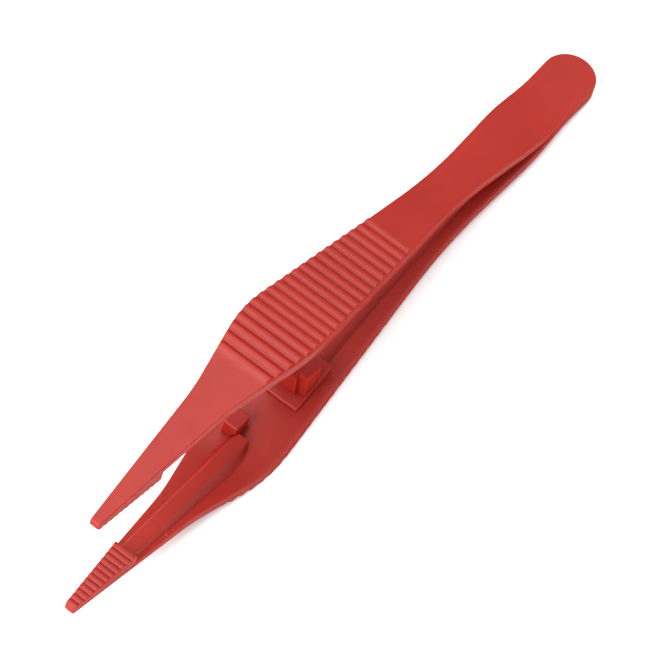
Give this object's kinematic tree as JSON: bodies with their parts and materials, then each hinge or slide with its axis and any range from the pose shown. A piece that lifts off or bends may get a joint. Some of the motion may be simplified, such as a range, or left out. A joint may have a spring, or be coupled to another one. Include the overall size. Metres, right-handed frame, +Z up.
{
  "type": "guided precision tweezers",
  "caption": "Bowed plastic spring tweezers with ribbed grips, toothed jaws, inner stiffening spines and a guide fork that keeps the two arms in line.",
  "frame": {"origin": "on the resting surface, under the middle of the bounding box", "axes": "+X from the jaw tips to the butt, +Z up, Y across the arms; the object lies on its lower grip ribs and the end of its butt"},
  "size_m": [0.1304, 0.0126, 0.0356],
  "materials": {
    "red_plastic": "satin"
  },
  "bodies": {
    "butt": {"upper_butt_plate": "red_plastic", "lower_butt_plate": "red_plastic"},
    "upper_arm_body": {"upper_arm": "red_plastic", "upper_front_spine": "red_plastic", "upper_grip_ribs": "red_plastic", "upper_guide_tongue": "red_plastic", "upper_jaw_pad": "red_plastic", "upper_rear_spine": "red_plastic"},
    "lower_arm_body": {"lower_arm": "red_plastic", "lower_front_spine": "red_plastic", "lower_grip_ribs": "red_plastic", "lower_guide_fork": "red_plastic", "lower_guide_pedestal": "red_plastic", "lower_jaw_pad": "red_plastic", "lower_rear_spine": "red_plastic", "lower_ridge_stop": "red_plastic"}
  },
  "joints": [
    {"name": "lower_arm_squeeze", "type": "hinge", "parent": "butt", "child": "lower_arm_body", "pos_m": [0.04493, 0, 0.00298], "axis": [0, 1, 0], "range_deg": [0, 5.35], "stiffness_Nm_per_rad": 1.5},
    {"name": "upper_arm_squeeze", "type": "hinge", "parent": "butt", "child": "upper_arm_body", "pos_m": [0.04557, 0, 0.00663], "axis": [0, -1, 0], "range_deg": [0, 5.35], "stiffness_Nm_per_rad": 1.5}
  ],
  "couplings": [
    {"joint": "upper_arm_squeeze", "follows": "lower_arm_squeeze", "ratio": 1}
  ]
}
